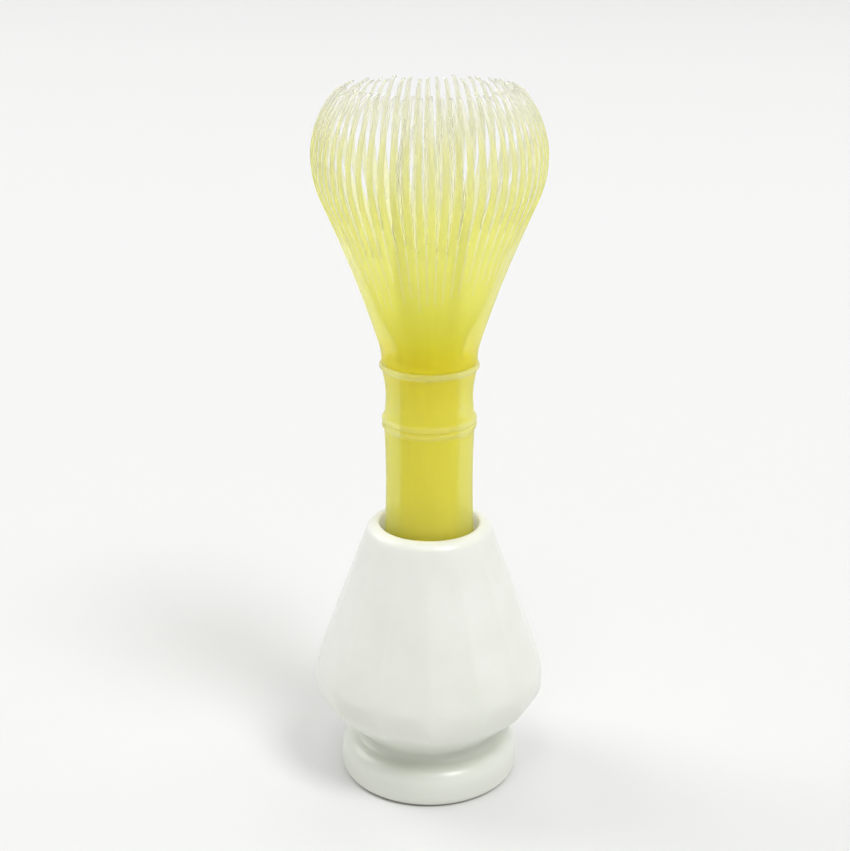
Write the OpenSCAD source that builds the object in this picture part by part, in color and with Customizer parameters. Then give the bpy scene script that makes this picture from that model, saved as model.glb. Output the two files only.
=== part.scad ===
// A moulded resin tea whisk that stands, handle down, in a glazed ceramic whisk holder.
// Lengths are in millimetres, +Z is up, and the origin is the middle of the holder's foot.

/* [Holder] */
// Height of the holder, to the crest of its lip
holder_h = 71; // [66:0.5:80]
// Diameter of the belly at its widest
belly_d = 60.8; // [58:0.2:68]
// Height of the widest place of the belly
belly_z = 28.6; // [27:0.2:32]
// Radius of the belly's curve
belly_round = 11.5; // [9:0.5:13]
// Diameter of the waist above the foot
waist_d = 36.8; // [34:0.2:40]
// Radius of the hollow at the waist
waist_round = 2; // [1:0.1:3]
// Diameter of the foot
foot_d = 47.4; // [44:0.2:54]
// Height of the foot
foot_h = 10.6; // [9.6:0.2:12]
// Radius of the foot's upper edge
foot_round = 5.2; // [3:0.1:6]
// Radius of the foot's lower edge
foot_edge = 2.4; // [1:0.1:3]
// Thickness of the rounded lip
lip_t = 3.8; // [2.4:0.1:5]
// Thickness of the ceramic wall
holder_wall = 4.4; // [3:0.1:5]
// Depth of the socket under the crest of the lip
socket_depth = 15; // [10:0.5:22]
// Room between the socket and the end of the handle
socket_gap = 0.8; // [0.4:0.1:2]

/* [Facets] */
// Number of facets cut round the body
facet_n = 14; // [10:1:20]
// Depth of a facet at the belly
facet_depth = 0.5; // [0.1:0.05:0.8]
// How far under the lip the facets end
facet_end = 1; // [0.5:0.1:4]

/* [Handle] */
// Diameter of the handle's lower end
handle_end_d = 24.8; // [23:0.1:27]
// Height of the double ring above the handle's end
low_ring_h = 42.5; // [36:0.5:50]
// Diameter of the handle at the double ring
low_ring_d = 22.4; // [21:0.1:24]
// Distance from the double ring up to the single ring
ring_step = 14.7; // [12:0.1:20]
// Diameter of the handle at the single ring
top_ring_d = 23.5; // [22:0.1:26]
// Radius of a ring's bead
bead_r = 0.85; // [0.5:0.05:1.2]
// How far the grip draws in between its end and the double ring
grip_waist = 0.75; // [0.1:0.05:1.2]
// How far the handle draws in between the rings
ring_waist = 0.35; // [0.1:0.05:0.7]
// Thickness of the handle's wall at its end
handle_wall = 5; // [2.5:0.1:6.5]
// Thickness of the solid web under the single ring
web_t = 3.5; // [2:0.1:8]
// Chamfer round the handle's end
end_chamfer = 0.8; // [0.3:0.1:1.5]

/* [Seats of the tines] */
// Diameter of the spigot that the outer tines sit round
spigot_d = 15.4; // [14:0.1:20]
// Height of the spigot
spigot_h = 3; // [2:0.1:8]
// Diameter of the socket for the inner tines
core_d = 11; // [9:0.1:13]
// Depth of the socket for the inner tines
core_depth = 4; // [3:0.1:8]
// Room between a seat and the piece in it
seat_gap = 0.1; // [0.05:0.05:0.3]

/* [Outer tines] */
// Number of outer tines
outer_n = 60; // [36:1:72]
// Diameter of the crown at its widest
crown_d = 56.4; // [50:0.2:64]
// Height of the widest place above the seat
bulge_h = 50.4; // [46:0.2:56]
// Radius of the curve that turns the tines inward
bulge_round = 24; // [20:0.5:28]
// Radius of the curl at the tips
hook_round = 5; // [3:0.5:8]
// How far the tips turn inward, in degrees from upright
hook_turn = 75; // [65:1:85]
// Height of the tips above the seat
crown_h = 67.6; // [64:0.2:72]
// Diameter of the neck
neck_d = 24; // [23:0.1:26]
// Height of the straight part of the neck
neck_h = 3; // [1:0.1:5]
// How far the flare hollows in from a straight cone
flare_bow = 0.7; // [0:0.1:1.5]
// Thickness of the flare just above the neck
root_t = 2.2; // [1.6:0.1:2.6]
// Thickness of a tine at its tip
tip_t = 0.8; // [0.5:0.1:1.2]
// Share of the flare below the slits
slit_start = 0.43; // [0.3:0.01:0.6]
// Width of a slit where the tines turn inward
slit_w = 1; // [0.3:0.05:1.3]
// Width of a slit at the tips
slit_tip_w = 1.25; // [0.8:0.05:1.4]

/* [Inner tines] */
// Number of inner tines
inner_n = 30; // [20:1:36]
// Height of the inner tips below the outer tips
inner_drop = 8; // [4:0.5:20]
// Diameter of the inner tips' circle
inner_tip_d = 12; // [10:0.2:14]
// How far the inner tines bow outward
inner_bow = 3.1; // [1:0.1:5]
// Thickness of the inner tines at their root
inner_root_t = 1.7; // [1.2:0.1:2]
// Width of an inner slit
inner_slit_w = 0.55; // [0.3:0.05:0.7]

/* [Hidden] */
$fn = 96;

ceramic_white = "#eef0ea";
resin_yellow = "#d3cb3f";
resin_pale = "#e4e08e";

// Points along an arc, from angle a0 to angle a1
function arc(centre, r, a0, a1, steps) =
    [for (i = [0:steps]) let (a = a0 + (a1 - a0) * i / steps)
        [centre.x + r * cos(a), centre.y + r * sin(a)]];

// The same points without the first one
function after_first(points) = [for (i = [1:len(points) - 1]) points[i]];

// A point a share t of the way between two points, drawn in by sag at the middle
function bowed(p, q, sag, t) = p + (q - p) * t - [4 * sag * t * (1 - t), 0];

// Points between two points, both left out, drawn in by sag at the middle
function bow(p, q, sag, steps) = [for (i = [1:steps - 1]) bowed(p, q, sag, i / steps)];

// Angle of the outward normal of the line that touches two circles in the r, z plane.
// reach is the sum or difference of their radii along that normal.
function touch_angle(from, to, reach) =
    let (d = to - from)
    atan2(d.y, d.x) - acos(reach / norm(d));

// The holder's outline is a chain of circles: the foot's edges, the waist, the belly and the lip
mouth_r = handle_end_d / 2 + socket_gap;
lip_r = lip_t / 2;
foot_r = foot_d / 2;
foot_c = [foot_r - foot_round, foot_h - foot_round];
floor_z = holder_h - socket_depth;
belly_c = [belly_d / 2 - belly_round, belly_z];
waist_x = waist_d / 2 + waist_round;
waist_c = [waist_x, foot_c.y + sqrt(pow(foot_round + waist_round, 2) - pow(waist_x - foot_c.x, 2))];
lip_c = [mouth_r + lip_r, holder_h - lip_r];
foot_a = atan2(waist_c.y - foot_c.y, waist_c.x - foot_c.x);
under_a = touch_angle(waist_c, belly_c, -(belly_round + waist_round));
flank_a = touch_angle(belly_c, lip_c, belly_round - lip_r);
inner_round = belly_round - holder_wall;
hollow_top_z = floor_z - holder_wall;
hollow_flank = arc(belly_c, inner_round, flank_a, flank_a, 1)[0];
hollow_top_r = hollow_flank.x - (hollow_top_z - hollow_flank.y) * tan(flank_a);

// The whisk stands on the socket's floor, and its heights follow from there up
low_ring_z = floor_z + low_ring_h;
top_ring_z = low_ring_z + ring_step;
seat_z = top_ring_z + bead_r;
spigot_r = spigot_d / 2;
spigot_top_z = seat_z + spigot_h;
core_floor_z = spigot_top_z - core_depth;
bore_r = handle_end_d / 2 - handle_wall;
bore_top_z = core_floor_z - web_t;

// The crown's outline is the neck, a hollowed flare and two arcs: the bulge and the curl at the tips
bulge_c = [crown_d / 2 - bulge_round, seat_z + bulge_h];
flare_low = [neck_d / 2, seat_z + neck_h];
flare_d = norm(bulge_c - flare_low);
flare_a = atan2(bulge_c.y - flare_low.y, bulge_c.x - flare_low.x) - acos(-bulge_round / flare_d);
flare_high = bulge_c + bulge_round * [cos(flare_a), sin(flare_a)];
curl_a = asin((crown_h - bulge_h - hook_round * sin(hook_turn)) / (bulge_round - hook_round));
curl_c = bulge_c + (bulge_round - hook_round) * [cos(curl_a), sin(curl_a)];
flare_steps = 3;
bulge_steps = 6;
hook_steps = 3;
tip_z = seat_z + crown_h;

// A solid of flat facets stacked in rings of [inradius, z], with a ridge towards -Y
module faceted_stack(rings, n) {
    ring_n = len(rings);
    points = [for (ring = rings, k = [0:n - 1]) let (a = -90 + 360 * k / n, r = ring[0] / cos(180 / n))
        [r * cos(a), r * sin(a), ring[1]]];
    sides = [for (i = [0:ring_n - 2], k = [0:n - 1]) let (m = (k + 1) % n)
        each [[i * n + k, (i + 1) * n + k, (i + 1) * n + m], [i * n + k, (i + 1) * n + m, i * n + m]]];
    floor_face = [for (k = [0:n - 1]) k];
    top_face = [for (k = [n - 1:-1:0]) (ring_n - 1) * n + k];
    polyhedron(points, concat([floor_face, top_face], sides));
}

// A ring that is slit into n tines above the level called split.
// outer and inner give [r, z] at each level, and slits the width of the slit there.
module tine_ring(n, outer, inner, slits, split) {
    last = len(outer) - 1;
    pitch = 360 / n;
    root_step = 2 * n;
    root_n = root_step * (split + 1);

    // Below the slits each tine shares its corners with the next one
    root_points = [for (j = [0:split], k = [0:n - 1], p = [outer[j], inner[j]])
        let (a = pitch * (k + 0.5)) [p[0] * cos(a), p[0] * sin(a), p[1]]];
    // Above them it has four of its own: right and left outside, right and left inside
    tine_points = [for (j = [split + 1:last], k = [0:n - 1], p = [outer[j], inner[j]], side = [-1, 1])
        let (a = pitch * k + side * (pitch / 2 - asin(slits[j] / 2 / p[0])))
        [p[0] * cos(a), p[0] * sin(a), p[1]]];

    // Corner numbers: wall is 0 outside and 1 inside, side is 0 for the lower angle
    function corner(j, k, wall, side) =
        j <= split
            ? root_step * j + 2 * ((k + side - 1 + n) % n) + wall
            : root_n + 4 * n * (j - split - 1) + 4 * k + 2 * wall + side;
    function quad(a, b, c, d) = [[a, b, c], [a, c, d]];

    walls = [for (j = [0:last - 1], k = [0:n - 1]) each concat(
        quad(corner(j, k, 0, 0), corner(j + 1, k, 0, 0), corner(j + 1, k, 0, 1), corner(j, k, 0, 1)),
        quad(corner(j, k, 1, 1), corner(j + 1, k, 1, 1), corner(j + 1, k, 1, 0), corner(j, k, 1, 0)))];
    slit_walls = [for (j = [split:last - 1], k = [0:n - 1]) each concat(
        quad(corner(j, k, 0, 1), corner(j + 1, k, 0, 1), corner(j + 1, k, 1, 1), corner(j, k, 1, 1)),
        quad(corner(j, k, 1, 0), corner(j + 1, k, 1, 0), corner(j + 1, k, 0, 0), corner(j, k, 0, 0)))];
    ends = [for (k = [0:n - 1]) each concat(
        quad(corner(0, k, 0, 1), corner(0, k, 1, 1), corner(0, k, 1, 0), corner(0, k, 0, 0)),
        quad(corner(last, k, 0, 0), corner(last, k, 1, 0), corner(last, k, 1, 1), corner(last, k, 0, 1)))];
    polyhedron(concat(root_points, tine_points), concat(walls, slit_walls, ends));
}

// Glazed ceramic: foot, waist, faceted belly and lip, with the socket above and a hollow below
module holder() {
    outline = concat(
        arc([foot_r - foot_edge, foot_edge], foot_edge, -90, 0, 6),
        arc(foot_c, foot_round, 0, foot_a, 8),
        after_first(arc(waist_c, waist_round, 180 + foot_a, 180 + under_a, 6)),
        arc(belly_c, belly_round, under_a, flank_a, 12),
        arc(lip_c, lip_r, flank_a, 180, 10));
    hollow = concat(
        [[mouth_r, floor_z], [0, floor_z], [0, hollow_top_z], [hollow_top_r, hollow_top_z]],
        arc(belly_c, inner_round, flank_a, under_a, 10),
        arc(waist_c, waist_round + holder_wall, 180 + under_a, 180, 6),
        [[foot_r - holder_wall, 0]]);
    // The facets are as deep, for the width of the body, all the way from the belly to just under the lip
    clear_r = belly_d;
    fade = 0.3;
    cut = function (p) p - [facet_depth * p.x / (belly_d / 2), 0];
    body_arc = arc(belly_c, belly_round, under_a, flank_a, 6);
    waist_end = arc(waist_c, waist_round, 180 + under_a, 180 + under_a, 1)[0];
    lip_end = arc(lip_c, lip_r, flank_a, flank_a, 1)[0];
    facet_top = lip_end + facet_end * [tan(flank_a), -1];
    envelope = concat(
        [[clear_r, -1], [clear_r, waist_end.y], waist_end + [fade, 0]],
        [for (p = concat(body_arc, [facet_top])) cut(p)],
        [lip_end + [fade, 0], [clear_r, lip_end.y], [clear_r, holder_h + 1]]);
    color(ceramic_white) intersection() {
        rotate_extrude() polygon(concat(outline, hollow));
        faceted_stack(envelope, facet_n);
    }
}

// Resin handle: a tube with a drawn-in grip, two rings like bamboo nodes, a web and the tines' seats
module handle() {
    end_r = handle_end_d / 2;
    low_r = low_ring_d / 2;
    top_r = top_ring_d / 2;
    bead_a = 75;
    grip_end = [end_r, floor_z + end_chamfer];
    low_beads = concat(
        arc([low_r, low_ring_z - bead_r], bead_r, -bead_a, bead_a, 8),
        arc([low_r, low_ring_z + bead_r], bead_r, -bead_a, bead_a, 8));
    top_bead = arc([top_r, top_ring_z], bead_r, -bead_a, 90, 8);
    outline = concat(
        [[bore_r, floor_z], [end_r - end_chamfer, floor_z], grip_end],
        bow(grip_end, low_beads[0], grip_waist, 10),
        low_beads,
        bow(low_beads[len(low_beads) - 1], top_bead[0], ring_waist, 8),
        top_bead,
        [[spigot_r, seat_z], [spigot_r, spigot_top_z]]);
    seats = [
        [core_d / 2, spigot_top_z], [core_d / 2, core_floor_z], [0, core_floor_z],
        [0, bore_top_z], [bore_r, bore_top_z]];
    color(resin_yellow) rotate_extrude() polygon(concat(outline, seats));
}

// Resin crown: a flare slit into outer tines that swell, turn inward, taper and curl at their tips
module outer_tines() {
    // Share of the way up the flare, from its foot to where the arc takes over
    flare_t = concat([slit_start / 2],
        [for (i = [0:flare_steps]) slit_start + (1 - slit_start) * i / flare_steps]);
    flare = [for (t = flare_t) bowed(flare_low, flare_high, flare_bow, t)];
    bulge = after_first(arc(bulge_c, bulge_round, flare_a, curl_a, bulge_steps));
    hook = after_first(arc(curl_c, hook_round, curl_a, hook_turn, hook_steps));
    normal_a = concat([for (t = flare_t) flare_a],
        [for (i = [1:bulge_steps]) flare_a + (curl_a - flare_a) * i / bulge_steps],
        [for (i = [1:hook_steps]) curl_a + (hook_turn - curl_a) * i / hook_steps]);
    blade = concat(flare, bulge, hook);
    blade_n = len(blade);
    split = len([for (t = flare_t) if (t <= slit_start) t]) + 1;
    thick = [for (i = [0:blade_n - 1]) root_t + (tip_t - root_t) * i / (blade_n - 1)];
    seat_r = spigot_r + seat_gap;
    outer = concat([[neck_d / 2, seat_z], flare_low], blade);
    inner = concat([[seat_r, seat_z], [seat_r, spigot_top_z + seat_gap]],
        [for (i = [0:blade_n - 1]) blade[i] - thick[i] * [cos(normal_a[i]), sin(normal_a[i])]]);
    flare_end = split + flare_steps;
    last = len(outer) - 1;
    slits = [for (j = [0:last]) j <= flare_end
        ? slit_w * max(0, j - split) / flare_steps
        : slit_w + (slit_tip_w - slit_w) * (j - flare_end) / (last - flare_end)];
    color(resin_pale) tine_ring(outer_n, outer, inner, slits, split);
}

// Resin core: a small tube pressed into the handle and slit into inner tines
module inner_tines() {
    root_r = core_d / 2 - seat_gap;
    root = [root_r, spigot_top_z];
    tip = [inner_tip_d / 2, tip_z - inner_drop];
    rise_steps = 7;
    outer = concat([[root_r, core_floor_z], root], bow(root, tip, -inner_bow, rise_steps), [tip]);
    last = len(outer) - 1;
    inner = [for (j = [0:last]) outer[j] - [j == 0 ? inner_root_t
        : inner_root_t + (tip_t - inner_root_t) * (j - 1) / (last - 1), 0]];
    split = 2;
    slits = [for (j = [0:last]) inner_slit_w * min(1, max(0, j - split) / 2)];
    color(resin_pale) tine_ring(inner_n, outer, inner, slits, split);
}

holder();
handle();
outer_tines();
inner_tines();
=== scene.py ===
# A moulded resin tea whisk that stands, handle down, in a faceted white ceramic whisk holder.
# Lengths are in metres and angles in degrees, +Z is up, and the origin is the middle of the holder's foot.
import math
import random

import bmesh
import bpy
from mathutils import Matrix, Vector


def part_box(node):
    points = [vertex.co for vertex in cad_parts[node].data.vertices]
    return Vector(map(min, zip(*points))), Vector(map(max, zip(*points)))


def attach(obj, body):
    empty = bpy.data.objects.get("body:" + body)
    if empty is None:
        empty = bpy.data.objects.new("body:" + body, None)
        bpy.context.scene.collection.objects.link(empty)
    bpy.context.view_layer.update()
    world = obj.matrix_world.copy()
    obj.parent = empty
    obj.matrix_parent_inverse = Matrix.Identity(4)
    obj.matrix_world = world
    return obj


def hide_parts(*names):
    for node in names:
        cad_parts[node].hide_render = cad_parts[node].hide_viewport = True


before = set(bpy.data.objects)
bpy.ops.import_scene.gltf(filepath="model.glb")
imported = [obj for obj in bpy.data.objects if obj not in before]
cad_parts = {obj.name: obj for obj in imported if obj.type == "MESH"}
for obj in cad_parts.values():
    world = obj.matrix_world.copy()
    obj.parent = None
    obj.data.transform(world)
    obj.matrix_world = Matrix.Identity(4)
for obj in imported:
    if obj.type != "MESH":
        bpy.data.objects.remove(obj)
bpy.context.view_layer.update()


# The holder is a stand thrown in white clay. While it was soft its body was pared into long facets from
# the waist to the lip, and then it was dipped in a milky glaze and fired. It is hollow underneath, and
# only the narrow ring that it stands on is bare clay.
holder_low, holder_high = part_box("holder")
lip_z = holder_high.z
shoulder_round = 0.0032
mouth_r = 0.0129
mouth_edge = 0.0006
mouth_edge_a = 120
mouth_margin = 0.0002
socket_top_d = 0.0015
socket_half_d = 0.007
socket_floor_z = 0.056
socket_edge = 0.0005
belly_r = -holder_low.y
belly_z = 0.0286
belly_round = 0.0115
belly_blend_a = 10
flank_shares = [0.2, 0.5, 0.8, 0.93]
waist_r = 0.0184
waist_round = 0.002
waist_blend_a = 15
foot_r = 0.0237
foot_h = 0.0106
foot_round = 0.0052
foot_edge = 0.0024
foot_under_a = -70
foot_blend_a = 5
clay_wall = 0.0044
clay_edge_w = 0.0004
clay_edge_h = 0.0012
hollow_flat_share = 0.9
cap_share = 0.5
facet_n = 14
facet_seed = 5
ridge_half_turn = 0.8
ridge_uneven = 0.9
ridge_crease = 0.55


def arc(centre, radius, start, end, steps):
    """Points of an arc in the plane of radius and height, between two angles."""
    turns = [math.radians(start + (end - start) * i / steps) for i in range(steps + 1)]
    return [(centre[0] + radius * math.cos(a), centre[1] + radius * math.sin(a)) for a in turns]


def between(p, q, shares, draw_in=0.0):
    """Points at given shares of the way between two points, drawn in towards the axis at the middle."""
    return [(p[0] + (q[0] - p[0]) * t - 4 * draw_in * t * (1 - t), p[1] + (q[1] - p[1]) * t) for t in shares]


def touch_angle(p, q, reach):
    """Angle of the outward normal of the line that touches two circles. Reach is the first radius less the
    second, where a circle on the other side of the line counts as negative."""
    across, up = q[0] - p[0], q[1] - p[1]
    return math.degrees(math.atan2(up, across) - math.acos(reach / math.hypot(across, up)))


def draw_rings(name, rings, sides):
    """A circle that is extruded from ring to ring; the last ring stays selected, in edit mode.
    It is turned so that the X axis runs half way between two of its points."""
    bpy.ops.object.select_all(action="DESELECT")
    bpy.ops.mesh.primitive_circle_add(vertices=sides, radius=rings[0][0], enter_editmode=True)
    piece = bpy.context.object
    piece.name = name
    if sides % 4 == 0:
        bpy.ops.transform.rotate(value=math.pi / sides, orient_axis="Z", center_override=(0, 0, 0))
    bpy.ops.transform.translate(value=(0, 0, rings[0][1]))
    for (r, z), (next_r, next_z) in zip(rings, rings[1:]):
        bpy.ops.mesh.extrude_region_move(TRANSFORM_OT_translate={"value": (0, 0, next_z - z)})
        bpy.ops.transform.resize(value=(next_r / r, next_r / r, 1), center_override=(0, 0, next_z))
    return piece


def select_points(piece, wanted):
    """Selects the points for which wanted(point) is true, in edit mode."""
    shape = bmesh.from_edit_mesh(piece.data)
    for point in shape.verts:
        point.select_set(wanted(point))
    shape.select_flush(True)
    shape.select_flush(False)
    bmesh.update_edit_mesh(piece.data)


def close_end():
    """Closes the selected ring with a fan of faces."""
    bpy.ops.mesh.edge_face_add()
    bpy.ops.mesh.poke()


def close_both_ends(piece):
    """Closes the last ring, which is selected, and then the first one, and turns the faces outwards."""
    close_end()
    select_points(piece, lambda point: point.is_boundary)
    close_end()
    bpy.ops.mesh.select_all(action="SELECT")
    bpy.ops.mesh.normals_make_consistent(inside=False)


def finish_mesh(piece, levels):
    """Leaves edit mode, smooths the piece by subdivision and applies it."""
    bpy.ops.object.mode_set(mode="OBJECT")
    smooth = piece.modifiers.new("smooth", "SUBSURF")
    smooth.levels = levels
    smooth.render_levels = levels
    bpy.ops.object.modifier_apply(modifier=smooth.name)
    bpy.ops.object.shade_smooth()


# The outline is made of circles that touch: foot, waist, belly and shoulder, with a straight flank
belly_c = (belly_r - belly_round, belly_z)
lip_c = (mouth_r + mouth_edge, lip_z - shoulder_round)
foot_c = (foot_r - foot_round, foot_h - foot_round)
waist_across = waist_r + waist_round - foot_c[0]
waist_up = math.sqrt((foot_round + waist_round) ** 2 - waist_across ** 2)
waist_c = (waist_r + waist_round, foot_c[1] + waist_up)
foot_a = math.degrees(math.atan2(waist_up, waist_across))
under_a = touch_angle(waist_c, belly_c, -(belly_round + waist_round))
flank_a = touch_angle(belly_c, lip_c, belly_round - shoulder_round)
hollow_top_z = socket_floor_z - clay_wall
inner_flank = arc(belly_c, belly_round - clay_wall, flank_a, flank_a, 1)[0]
hollow_top_r = inner_flank[0] - (hollow_top_z - inner_flank[1]) * math.tan(math.radians(flank_a))

hollow_rings = [(hollow_top_r * cap_share, hollow_top_z), (hollow_top_r * hollow_flat_share, hollow_top_z)]
hollow_rings += arc(belly_c, belly_round - clay_wall, flank_a, under_a, 4)
hollow_rings += arc(waist_c, waist_round + clay_wall, 180 + under_a, 180, 3)
hollow_rings += [(foot_r - clay_wall, clay_edge_h), (foot_r - clay_wall + clay_edge_w, 0)]
foot_rings = [(foot_r - foot_edge, 0)]
foot_rings += arc((foot_r - foot_edge, foot_edge), foot_edge, foot_under_a, -foot_blend_a, 3)
foot_rings += arc(foot_c, foot_round, foot_blend_a, foot_a, 4)
foot_rings += arc(waist_c, waist_round, 180 - waist_blend_a + foot_a, 180 + waist_blend_a + under_a, 3)
lip_rings = arc(lip_c, shoulder_round, flank_a, 90, 5)
lip_rings += arc((lip_c[0], lip_z - mouth_edge), mouth_edge, mouth_edge_a, 180, 2)
belly_rings = arc(belly_c, belly_round, under_a + belly_blend_a, flank_a, 5)
belly_rings += between(belly_rings[-1], lip_rings[0], flank_shares)
socket_rings = [(mouth_r, lip_z - socket_top_d), (mouth_r, lip_z - socket_half_d)]
socket_rings += [(mouth_r, socket_floor_z + socket_edge), (mouth_r - socket_edge, socket_floor_z)]
socket_rings += [(mouth_r * cap_share, socket_floor_z)]

holder = draw_rings("holder_glazed", hollow_rings + foot_rings + belly_rings + lip_rings + socket_rings,
                    2 * facet_n)
close_both_ends(holder)

# The two points beside each ridge are drawn together, which leaves a flat facet between one pair and the
# next. The facets were pared by eye, so each ridge stands a little off its even place.
column_turn = 360 / (2 * facet_n)
z_digits = 7
facet_zs = [round(z, z_digits) for r, z in belly_rings]


def on_body(point):
    """Whether a point lies on the faceted outside of the body."""
    return round(point.co.z, z_digits) in facet_zs and point.co.xy.length > waist_r


def beside_ridge(point, ridge, side):
    """Whether a point lies on the body next to a ridge, on the given side of it."""
    turn = math.degrees(math.atan2(point.co.y, point.co.x)) + 90 - 2 * column_turn * ridge
    turn = (turn + 180) % 360 - 180
    return on_body(point) and 0 < turn * side < column_turn


chance = random.Random(facet_seed)
for ridge in range(facet_n):
    astray = chance.uniform(-ridge_uneven, ridge_uneven)
    for side in (1, -1):
        select_points(holder, lambda point: beside_ridge(point, ridge, side))
        closer = math.radians(side * (column_turn / 2 - ridge_half_turn) - astray)
        bpy.ops.transform.rotate(value=closer, orient_axis="Z", center_override=(0, 0, 0))

# The edges that run up the ridges are creased, so that the facets between them stay flat
level_within = 1e-6
bpy.ops.mesh.select_mode(type="EDGE")
bpy.ops.mesh.select_all(action="DESELECT")
shape = bmesh.from_edit_mesh(holder.data)
for edge in shape.edges:
    low, high = edge.verts
    upright = abs(high.co.z - low.co.z) > level_within
    edge.select_set(upright and on_body(low) and on_body(high))
bmesh.update_edit_mesh(holder.data)
bpy.ops.transform.edge_crease(value=ridge_crease)
bpy.ops.mesh.select_mode(type="VERT")
finish_mesh(holder, levels=3)


def new_material(name):
    """A material with its nodes, its links and its shader."""
    material = bpy.data.materials.new(name)
    material.use_nodes = True
    nodes = material.node_tree.nodes
    return material, nodes, material.node_tree.links, nodes["Principled BSDF"]


def set_sockets(node, values):
    """Sets the sockets that are the same all over a surface."""
    for socket, value in values.items():
        node.inputs[socket].default_value = value


def ramp_of(nodes, links, value, stops):
    """A colour ramp over a value, with a stop at each (place, colour)."""
    ramp = nodes.new("ShaderNodeValToRGB")
    elements = ramp.color_ramp.elements
    while len(elements) < len(stops):
        elements.new(1)
    for element, (place, colour) in zip(elements, stops):
        element.position = place
        element.color = colour
    links.new(value, ramp.inputs["Fac"])
    return ramp.outputs


def noise_of(nodes, links, vector, scale, detail):
    """A cloudy pattern over the given coordinates."""
    noise = nodes.new("ShaderNodeTexNoise")
    set_sockets(noise, {"Scale": scale, "Detail": detail})
    links.new(vector, noise.inputs["Vector"])
    return noise.outputs["Fac"]


def spread_of(nodes, links, value, low, high, to_low, to_high):
    """A value spread from one range to another."""
    spread = nodes.new("ShaderNodeMapRange")
    set_sockets(spread, {"From Min": low, "From Max": high, "To Min": to_low, "To Max": to_high})
    links.new(value, spread.inputs["Value"])
    return spread.outputs["Result"]


def blend_of(nodes, links, share, first, second, mode="MIX"):
    """A blend of two colours. The share and the colours are sockets or plain values."""
    blend = nodes.new("ShaderNodeMix")
    blend.data_type = "RGBA"
    blend.blend_type = mode
    for name, given in (("Factor", share), ("A", first), ("B", second)):
        if isinstance(given, bpy.types.NodeSocket):
            links.new(given, blend.inputs[name])
        else:
            blend.inputs[name].default_value = given
    return blend.outputs["Result"]


def bump_of(nodes, links, height, depth, shader):
    """Relief of a given depth in metres."""
    bump = nodes.new("ShaderNodeBump")
    set_sockets(bump, {"Strength": 0.6, "Distance": depth})
    links.new(height, bump.inputs["Height"])
    links.new(bump.outputs["Normal"], shader.inputs["Normal"])


# The glaze runs from thin and white to thick and a little greener. It is darker towards the bottom: partly
# glaze pooled in the waist, partly painted shade on the waist, foot and lower belly under the belly's
# overhang, and the glaze was wiped off the ring that the holder stands on.
glaze_thin = (0.885, 0.895, 0.845, 1)
glaze_thick = (0.835, 0.85, 0.785, 1)
glaze_pooled_and_shade = (0.70, 0.73, 0.635, 1)
bare_clay = (0.66, 0.60, 0.50, 1)
bare_below_z = 0.0003
glazed_above_z = 0.0007
pooled_and_shade_to_z = 0.041
# The pooled tint is partly glaze pooling and partly painted shade on the foot, the waist and the lower belly
pooled_and_shade = [(0, 0.4), (0.0075, 0.35), (waist_c[1], 0.9), (0.0185, 0.35), (0.027, 0.25), (pooled_and_shade_to_z, 0)]
thick_rough = 0.38
thin_rough = 0.3
noise_low = 0.3
noise_high = 0.7
glaze_ripple_depth = 0.00008

glaze, nodes, links, shader = new_material("milky_glaze")
where = nodes.new("ShaderNodeTexCoord").outputs["Object"]
split = nodes.new("ShaderNodeSeparateXYZ")
links.new(where, split.inputs["Vector"])
cloud = noise_of(nodes, links, where, scale=60, detail=4)
dipped = ramp_of(nodes, links, cloud, [(0.35, glaze_thick), (0.68, glaze_thin)])["Color"]
pooling_and_shade_z = spread_of(nodes, links, split.outputs["Z"], 0, pooled_and_shade_to_z, 0, 1)
# The pooled tint, partly painted shade, is blended over the glaze by height
pooling_and_shade = ramp_of(nodes, links, pooling_and_shade_z, [(z / pooled_and_shade_to_z, (much, much, much, 1)) for z, much in pooled_and_shade])
glazed = blend_of(nodes, links, pooling_and_shade["Color"], dipped, glaze_pooled_and_shade)
foot_ring = spread_of(nodes, links, split.outputs["Z"], bare_below_z, glazed_above_z, 1, 0)
links.new(blend_of(nodes, links, foot_ring, glazed, bare_clay), shader.inputs["Base Color"])
gloss = spread_of(nodes, links, cloud, noise_low, noise_high, thick_rough, thin_rough)
links.new(gloss, shader.inputs["Roughness"])
ripple = noise_of(nodes, links, where, scale=90, detail=1)
bump_of(nodes, links, ripple, glaze_ripple_depth, shader)
set_sockets(shader, {"Coat Weight": 0.4, "Coat Roughness": 0.22, "Subsurface Weight": 0.6,
                     "Subsurface Radius": (1, 1, 0.9), "Subsurface Scale": 0.002})
holder.data.materials.append(glaze)

# In the mouth the light soaks through the clay from all round, so the narrow gap there stays pale
mouth_glow = 0.014
mouth_glaze = glaze.copy()
mouth_glaze.name = "milky_glaze_mouth"
mouth_shader = mouth_glaze.node_tree.nodes["Principled BSDF"]
set_sockets(mouth_shader, {"Subsurface Weight": 1, "Subsurface Scale": mouth_glow})
holder.data.materials.append(mouth_glaze)
for face in holder.data.polygons:
    in_mouth = face.center.xy.length < mouth_r + mouth_margin
    if in_mouth and face.center.z > socket_floor_z - socket_edge:
        face.material_index = 1
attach(holder, "holder")
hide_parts("holder")


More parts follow.
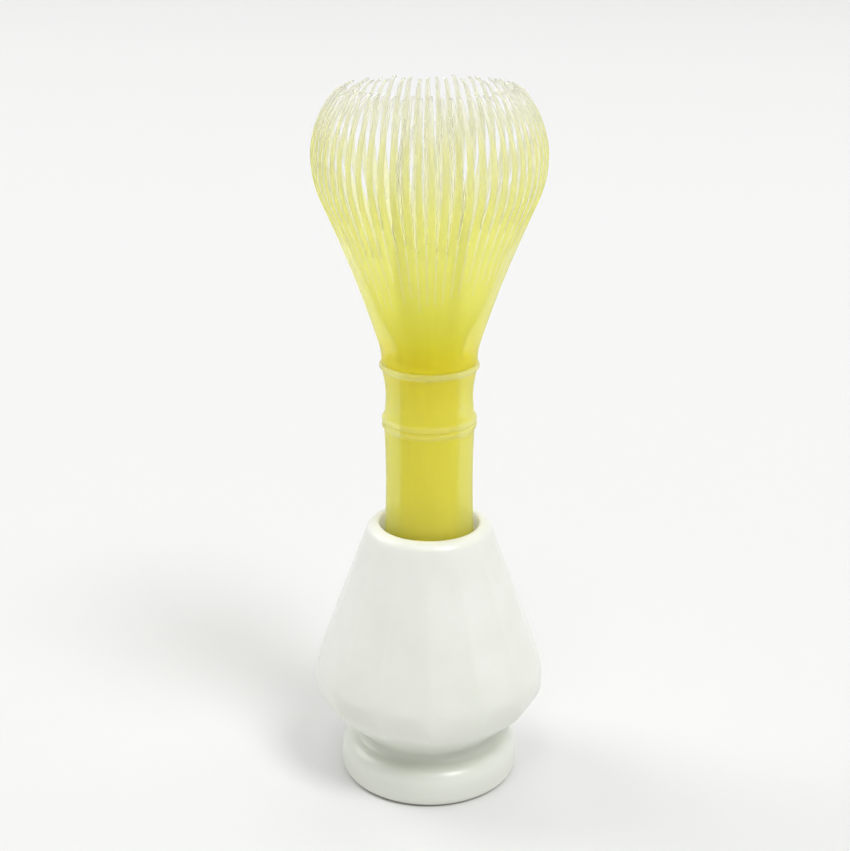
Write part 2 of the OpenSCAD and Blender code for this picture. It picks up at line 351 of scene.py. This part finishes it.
# The handle is one moulding in cloudy yellow resin: a tube with a grip that draws in, a double and a single
# ring like the nodes of a cane, and a solid top with a spigot. It stands loose on the holder's socket floor.
handle_low, handle_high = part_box("handle")
handle_sides = 48
end_z = handle_low.z
end_r = 0.0124
end_round = 0.0008
low_ring_z = 0.0985
low_ring_r = 0.0112
top_ring_z = 0.1132
top_ring_r = 0.01175
bead_r = 0.00085
bead_a = 75
grip_draw_in = 0.00075
grip_shares = [0.06, 0.2, 0.4, 0.6, 0.8, 0.94]
cane_draw_in = 0.0007
cane_shares = [0.1, 0.3, 0.5, 0.7, 0.9]
bore_r = 0.0074
bore_top_z = 0.10955
bore_shares = [0.1, 0.5, 0.9]
seat_z = top_ring_z + bead_r
spigot_r = 0.0077
spigot_top_z = handle_high.z
core_r = 0.0055
core_floor_z = 0.11305
edge_round = 0.0004

low_bead = arc((low_ring_r, low_ring_z - bead_r), bead_r, -bead_a, bead_a, 6)
high_bead = arc((low_ring_r, low_ring_z + bead_r), bead_r, -bead_a, bead_a, 6)
top_bead = arc((top_ring_r, top_ring_z), bead_r, -bead_a, 90, 6)
end_edge = arc((end_r - end_round, end_z + end_round), end_round, -90, 0, 3)
bore_rings = [(bore_r * cap_share, bore_top_z), (bore_r - edge_round, bore_top_z)]
bore_rings += [(bore_r, bore_top_z - edge_round)]
bore_rings += between((bore_r, bore_top_z), (bore_r, end_z), bore_shares)
bore_rings += [(bore_r, end_z + edge_round), (bore_r + edge_round, end_z)]
grip_rings = between(end_edge[-1], low_bead[0], grip_shares, grip_draw_in)
cane_rings = between(high_bead[-1], top_bead[0], cane_shares, cane_draw_in)
seat_rings = [(spigot_r + edge_round, seat_z), (spigot_r, seat_z + edge_round)]
seat_rings += [(spigot_r, spigot_top_z - edge_round), (spigot_r - edge_round, spigot_top_z)]
seat_rings += [(core_r + edge_round, spigot_top_z), (core_r, spigot_top_z - edge_round)]
seat_rings += [(core_r, core_floor_z + edge_round), (core_r * cap_share, core_floor_z)]

handle = draw_rings("handle_tube", bore_rings + end_edge + grip_rings + low_bead + high_bead + cane_rings
                    + top_bead + seat_rings, handle_sides)
close_both_ends(handle)
finish_mesh(handle, levels=2)

resin_glow = 0.004
resin_specular = 0.7
streak_stretch = 0.12
streak_dull = (0.965, 0.965, 0.94, 1)
streak_clear = (1, 1, 1, 1)
dull_rough = 0.4
clear_rough = 0.3
resin_ripple_depth = 0.00004


def resin(name, stops, deep=None, shine=0.45):
    """Cloudy resin. Its stops are (height, colour, cover), where cover is how much it hides of what lies
    behind it. Deep gives two radii, from the deep colour to the plain one, and then the deep colour."""
    material, nodes, links, shader = new_material(name)
    where = nodes.new("ShaderNodeTexCoord").outputs["Object"]
    split = nodes.new("ShaderNodeSeparateXYZ")
    links.new(where, split.inputs["Vector"])
    low_z, high_z = stops[0][0], stops[-1][0]
    height = spread_of(nodes, links, split.outputs["Z"], low_z, high_z, 0, 1)
    places = [((z - low_z) / (high_z - low_z), (*colour, cover)) for z, colour, cover in stops]
    tint = ramp_of(nodes, links, height, places)
    links.new(tint["Alpha"], shader.inputs["Alpha"])
    colour = tint["Color"]
    if deep:
        from_r, to_r, deep_colour = deep
        flat = nodes.new("ShaderNodeCombineXYZ")
        links.new(split.outputs["X"], flat.inputs["X"])
        links.new(split.outputs["Y"], flat.inputs["Y"])
        radius = nodes.new("ShaderNodeVectorMath")
        radius.operation = "LENGTH"
        links.new(flat.outputs["Vector"], radius.inputs[0])
        inside = spread_of(nodes, links, radius.outputs["Value"], from_r, to_r, 1, 0)
        colour = blend_of(nodes, links, inside, colour, (*deep_colour, 1))

    # Faint streaks run along the piece, as the resin flowed into the mould
    along = nodes.new("ShaderNodeMapping")
    along.inputs["Scale"].default_value = (1, 1, streak_stretch)
    links.new(where, along.inputs["Vector"])
    streak = noise_of(nodes, links, along.outputs["Vector"], scale=420, detail=3)
    pale = ramp_of(nodes, links, streak, [(noise_low, streak_dull), (noise_high, streak_clear)])["Color"]
    links.new(blend_of(nodes, links, 1, colour, pale, "MULTIPLY"), shader.inputs["Base Color"])
    gloss = spread_of(nodes, links, streak, noise_low, noise_high, dull_rough, clear_rough)
    links.new(gloss, shader.inputs["Roughness"])
    ripple = noise_of(nodes, links, where, scale=90, detail=1)
    bump_of(nodes, links, ripple, resin_ripple_depth, shader)
    set_sockets(shader, {"Coat Weight": shine, "Coat Roughness": 0.16,
                         "Specular IOR Level": shine * resin_specular,
                         "Transmission Weight": 0.4, "IOR": 1.05, "Subsurface Weight": 1,
                         "Subsurface Radius": (1, 1, 0.9), "Subsurface Scale": resin_glow})
    return material


# The rings are painted paler than the cane between them, a painted highlight for the light that the thin
# beads catch and let through, and towards the axis the colour turns a deeper yellow than on the outside
end_yellow = (0.91, 0.87, 0.14)
grip_yellow = (0.89, 0.86, 0.12)
cane_yellow = (0.90, 0.835, 0.08)
# Painted highlight: the beads are painted paler than the cane
bead_painted_highlight = (0.96, 0.93, 0.27)
spigot_yellow = (0.93, 0.81, 0.05)
deep_yellow = (0.89, 0.80, 0.03)
deep_r = 0.0078
plain_r = 0.0095
bead_blur = 0.3 * bead_r
double_half_h = 2 * bead_r
seat_blur = 0.0003
spigot_tint_z = 0.117
handle_stops = [
    (socket_floor_z, end_yellow, 0.84),
    (low_ring_z - double_half_h - bead_blur, grip_yellow, 0.84),
    (low_ring_z - double_half_h + bead_blur, bead_painted_highlight, 0.7),
    (low_ring_z + double_half_h - bead_blur, bead_painted_highlight, 0.7),
    (low_ring_z + double_half_h + bead_blur, grip_yellow, 0.84),
    (top_ring_z - bead_r - bead_blur, cane_yellow, 0.82),
    (top_ring_z - bead_r + bead_blur, bead_painted_highlight, 0.7),
    (top_ring_z + bead_r - bead_blur, bead_painted_highlight, 0.7),
    (seat_z + seat_blur, cane_yellow, 0.8),
    (spigot_tint_z, spigot_yellow, 0.75)]
handle_resin = resin("yellow_resin", handle_stops, (deep_r, plain_r, deep_yellow))
handle.data.materials.append(handle_resin)
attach(handle, "whisk")
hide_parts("handle")


# The outer tines are one moulding in paler resin: a flared cup, slit into sixty flat tines that swell, turn
# inward, narrow and curl at their tips. Its neck is pushed over the spigot on top of the handle.
tip_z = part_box("outer_tines")[1].z
outer_n = 60
press_gap = 0.0001
neck_r = 0.012
neck_h = 0.003
neck_z = seat_z + neck_h
neck_edge = 0.0006
neck_wall = neck_r - spigot_r - press_gap
root_z = 0.1254
root_t = 0.0022
tip_t = 0.0008
crown_r = 0.0282
bulge_h = 0.0504
bulge_round = 0.024
bulge_c = (crown_r - bulge_round, seat_z + bulge_h)
hook_round = 0.005
hook_turn = 75
flare_draw_in = 0.0007
flare_shares = [0.1, 0.2, 0.3] + [i / 20 for i in range(7, 20)]

# A slit opens from its root to its full width over a height. Below it a groove runs down, painted as a pale
# line of painted light.
slit_root_w = 0.00002
slit_opens_h = 0.017
slit_taper = 0.9
slit_uneven = (0.75, 1.2)
groove_h = 0.014
groove_w = 0.00024
groove_d = 0.00012

# A tine is drawn by three points across, its middle and its two edges. Its middle swells out from a height
# below the slits to a height above, and its edges are thinner.
tine_points = 3
tine_swell = 0.00022
tine_swell_from = -0.012
tine_swell_to = 0.01
tine_lean = 0.012
edge_thinner = 0.85
edge_sharp_a = 40
edge_crease = 0.6
on_line = 0.1


def rises(z, low, high):
    """How far a height is between two others, from 0 to 1."""
    return min(1, max(0, (z - low) / (high - low)))


def draw_tines(name, resins, count, line, walls, slit_z, slit_spread, slit_w, sway, tip_drop, seed):
    """A cup that is drawn up along a line of (radius, height), gets a wall from walls(height) and is slit
    into tines. Each slit starts at its own height and opens as it rises, and no two tines stand alike."""
    chance = random.Random(seed)
    starts = [slit_z + chance.uniform(0, slit_spread) for k in range(count)]
    widths = [slit_w * chance.uniform(*slit_uneven) for k in range(count)]
    sways = [[math.radians(chance.uniform(-sway, sway)) for k in range(count)] for power in (1, 2)]
    leans = [chance.uniform(-tine_lean, tine_lean) for k in range(count)]
    drops = [chance.uniform(0, 1) ** 2 * tip_drop for k in range(count)]
    cup = draw_rings(name, line, tine_points * count)
    for material in resins:
        cup.data.materials.append(material)
    pitch = 2 * math.pi / count
    first_turn = pitch / (2 * tine_points)

    # Turns are counted in tines. The strip of faces between two of them is cut away above the start of its
    # slit, and takes the second resin, painted paler as painted light, for the groove below it.
    shape = bmesh.from_edit_mesh(cup.data)
    for face in shape.faces:
        middle = face.calc_center_median()
        turn = (math.atan2(middle.y, middle.x) - first_turn) / pitch
        slit = math.floor(turn)
        if abs(turn - slit - 0.5) < on_line:
            above = middle.z - starts[slit % count]
            face.material_index = 1 if above > -groove_h else 0
            face.select_set(above > 0)
        else:
            face.select_set(False)
    bmesh.update_edit_mesh(cup.data)
    bpy.ops.mesh.delete(type="FACE")
    bpy.ops.mesh.select_all(action="SELECT")
    bpy.ops.mesh.normals_make_consistent(inside=False)
    bpy.ops.object.mode_set(mode="OBJECT")

    low_z, top_z = line[0][1], line[-1][1]
    wall_group = cup.vertex_groups.new(name="wall")
    for point in cup.data.vertices:
        x, y, z = point.co
        reach = math.hypot(x, y)
        turn = (math.atan2(y, x) - first_turn) / pitch
        tine = round(turn)
        place = tine * pitch
        wall = walls(z) / walls(low_z)
        rise = rises(z, slit_z, top_z)
        if abs(turn - tine) < on_line:
            reach += tine_swell * rises(z, slit_z + tine_swell_from, slit_z + tine_swell_to)
        else:
            side = math.copysign(1, turn - tine)
            slit = (tine if side > 0 else tine - 1) % count
            start = starts[slit]
            near = rises(z, start - groove_h, start)
            gap = slit_root_w + groove_w * near
            gap += widths[slit] * rises(z, start, start + slit_opens_h) ** slit_taper
            place += side * (pitch / 2 - gap / 2 / reach)
            reach -= groove_d * near
            wall *= 1 - edge_thinner * rises(z, start, start + slit_opens_h / 2)
        wall_group.add([point.index], wall, "REPLACE")
        tine %= count
        place += first_turn + sways[0][tine] * rise + sways[1][tine] * rise ** 2
        reach *= 1 + leans[tine] * rise ** 2
        point.co = (reach * math.cos(place), reach * math.sin(place), z - drops[tine] * rise ** 3)

    thick = cup.modifiers.new("wall", "SOLIDIFY")
    thick.thickness = walls(low_z)
    thick.offset = -1
    thick.vertex_group = wall_group.name
    # The inside and the slit walls take the second resin, which is painted paler as painted light
    thick.material_offset = 1
    thick.material_offset_rim = 1
    bpy.ops.object.modifier_apply(modifier=thick.name)
    cup.vertex_groups.clear()
    bpy.ops.object.mode_set(mode="EDIT")
    bpy.ops.mesh.select_mode(type="EDGE")
    bpy.ops.mesh.select_all(action="DESELECT")
    bpy.ops.mesh.edges_select_sharp(sharpness=math.radians(edge_sharp_a))
    bpy.ops.transform.edge_crease(value=edge_crease)
    bpy.ops.mesh.select_mode(type="VERT")
    finish_mesh(cup, levels=1)
    return cup


# The flare touches the bulge, and the hook at the tips touches the bulge from inside
flare_a = touch_angle((neck_r, neck_z), bulge_c, -bulge_round)
flare_high = arc(bulge_c, bulge_round, flare_a, flare_a, 1)[0]
hook_up = tip_z - bulge_c[1] - hook_round * math.sin(math.radians(hook_turn))
curl_a = math.degrees(math.asin(hook_up / (bulge_round - hook_round)))
curl_c = arc(bulge_c, bulge_round - hook_round, curl_a, curl_a, 1)[0]
crown_line = [(neck_r, seat_z), (neck_r, seat_z + neck_edge), (neck_r, neck_z)]
crown_line += between((neck_r, neck_z), flare_high, flare_shares, flare_draw_in)
crown_line += arc(bulge_c, bulge_round, flare_a, curl_a, 9)
crown_line += arc(curl_c, hook_round, curl_a, hook_turn, 4)[1:]


def crown_wall(z):
    """Wall of the crown at a height: thick round the spigot, then thinner all the way to the tips."""
    return (neck_wall + (root_t - neck_wall) * rises(z, neck_z, root_z)
            + (tip_t - root_t) * rises(z, root_z, tip_z))


# The resin is deep yellow at the neck and pales towards the tips. Inside and in the slits it is painted
# paler still, painted light that lifts the shade inside the cup and between the tines.
crown_stops = [
    (0.1141, (0.95, 0.81, 0.03), 0.8),
    (0.120, (0.97, 0.885, 0.06), 0.74),
    (0.1255, (0.98, 0.935, 0.11), 0.68),
    (0.1365, (0.99, 0.96, 0.165), 0.64),
    (0.1447, (0.99, 0.975, 0.195), 0.63),
    (0.1556, (0.985, 0.97, 0.18), 0.68),
    (0.1706, (0.985, 0.98, 0.32), 0.64),
    (0.1788, (0.995, 0.995, 0.68), 0.52)]


def paler(stops, power, cover_share):
    """The same stops painted paler, as painted light, and with a share of their cover."""
    return [(z, tuple(part ** power for part in colour), cover * cover_share) for z, colour, cover in stops]


# Painted light: the inside, the slit walls and the grooves are painted paler than the outside
lit_inside_stops = paler(crown_stops[:3], power=0.7, cover_share=0.95)
lit_inside_stops += paler(crown_stops[3:5], power=0.4, cover_share=0.95)
lit_inside_stops += paler(crown_stops[5:], power=0.15, cover_share=1.2)
crown_resin = resin("pale_resin", crown_stops)
lit_inside_resin = resin("pale_resin_inside_lit", lit_inside_stops, shine=0)
outer_tines = draw_tines("outer_tines_slit", (crown_resin, lit_inside_resin), outer_n, crown_line, crown_wall,
                         slit_z=0.1425, slit_spread=0.010, slit_w=0.001, sway=0.55, tip_drop=0.0012, seed=3)
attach(outer_tines, "whisk")
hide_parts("outer_tines")


# The inner tines are a small tube in the clearest resin, slit into thirty thin tines that bow out and close
# again under the outer tips. The tube is pressed into the socket on top of the handle.
inner_low, inner_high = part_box("inner_tines")
inner_n = 30
inner_steps = 14
inner_root_r = core_r - press_gap
inner_tip_r = 0.006
inner_bow = 0.0031
inner_root_t = 0.0017
inner_neck_h = 0.004
inner_line = [(inner_root_r, inner_low.z), (inner_root_r, spigot_top_z)]
inner_line += between((inner_root_r, spigot_top_z), (inner_tip_r, inner_high.z),
                      [i / inner_steps for i in range(1, inner_steps + 1)], -inner_bow)


def inner_wall(z):
    """Wall of the inner tines at a height."""
    return inner_root_t + (tip_t - inner_root_t) * rises(z, spigot_top_z, inner_high.z)


inner_stops = [
    (0.113, (0.97, 0.90, 0.10), 0.7),
    (0.125, (0.98, 0.97, 0.40), 0.42),
    (0.145, (0.99, 0.985, 0.60), 0.3),
    (0.170, (0.995, 0.995, 0.80), 0.25)]
inner_resin = resin("pale_resin_core", inner_stops, shine=0.15)
inner_tines = draw_tines("inner_tines_slit", (inner_resin, inner_resin), inner_n, inner_line, inner_wall,
                         slit_z=spigot_top_z + inner_neck_h, slit_spread=0.005, slit_w=0.0005,
                         sway=2.4, tip_drop=0.005, seed=7)
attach(inner_tines, "whisk")
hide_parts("inner_tines")


# The table is a plain pale matt sheet that fills the view. It belongs to the studio and not to the whisk.
# The room round it is white to the camera and in reflections, and lights the whisk more softly than that.
table_w = 6
table_colour = (0.80, 0.80, 0.795, 1)
room_light = 0.38
room_seen = 0.95
bpy.ops.object.select_all(action="DESELECT")
bpy.ops.mesh.primitive_plane_add(size=table_w)
table = bpy.context.object
table.name = "table"
table_white, nodes, links, shader = new_material("table_white")
set_sockets(shader, {"Base Color": table_colour, "Roughness": 0.9})
table.data.materials.append(table_white)

room = bpy.data.worlds.new("studio")
bpy.context.scene.world = room
room.use_nodes = True
nodes, links = room.node_tree.nodes, room.node_tree.links
room_white = nodes["Background"]
room_white.inputs["Color"].default_value = (1, 1, 1, 1)
ray = nodes.new("ShaderNodeLightPath")
seen = ray.outputs["Is Camera Ray"]
for kind in ("Is Glossy Ray", "Is Transmission Ray"):
    either = nodes.new("ShaderNodeMath")
    either.operation = "MAXIMUM"
    links.new(seen, either.inputs[0])
    links.new(ray.outputs[kind], either.inputs[1])
    seen = either.outputs["Value"]
links.new(spread_of(nodes, links, seen, 0, 1, room_light, room_seen), room_white.inputs["Strength"])


# Soft lamps stand round the table, all at one distance. The key lamp is to the right of the camera and the
# broad one to its left, and weaker ones open up the shadows behind and above.
lamp_distance = 8
lamp_aim_z = 0.09


def softbox(name, turn, lift, width, height, power):
    """A soft lamp at a turn from the camera's side and a lift above the table, aimed at the whisk."""
    lamp = bpy.data.lights.new(name, "AREA")
    lamp.shape = "RECTANGLE"
    lamp.size = width
    lamp.size_y = height
    lamp.energy = power
    stand = bpy.data.objects.new(name, lamp)
    bpy.context.scene.collection.objects.link(stand)
    turn, lift = math.radians(turn), math.radians(lift)
    away, up = lamp_distance * math.cos(lift), lamp_distance * math.sin(lift)
    stand.location = (away * math.sin(turn), -away * math.cos(turn), lamp_aim_z + up)
    stand.rotation_euler = (math.pi / 2 - lift, 0, turn)


softbox("key", turn=42, lift=55, width=2.4, height=3.0, power=260)
softbox("window", turn=-14, lift=64, width=1.4, height=3.4, power=50)
softbox("left", turn=-115, lift=40, width=4, height=5, power=185)
softbox("right", turn=115, lift=40, width=4, height=5, power=45)
softbox("behind", turn=170, lift=50, width=5, height=4, power=65)
softbox("roof", turn=0, lift=86, width=5, height=5, power=75)


# The camera stands in front of the whisk and looks down on it a little. It is close, so the crown looks
# large and the foot small.
camera_pitch = math.radians(19.5)
camera_distance = 0.38756
camera_x = -0.0011
camera_aim_z = 0.09695
camera_lens = 65
camera_near = 0.01
camera_data = bpy.data.cameras.new("camera")
camera_data.lens = camera_lens
camera_data.clip_start = camera_near
camera = bpy.data.objects.new("camera", camera_data)
bpy.context.scene.collection.objects.link(camera)
camera_y = -camera_distance * math.cos(camera_pitch)
camera.location = (camera_x, camera_y, camera_aim_z + camera_distance * math.sin(camera_pitch))
camera.rotation_euler = (math.pi / 2 - camera_pitch, 0, 0)
bpy.context.scene.camera = camera
bpy.context.scene.view_settings.view_transform = "Standard"
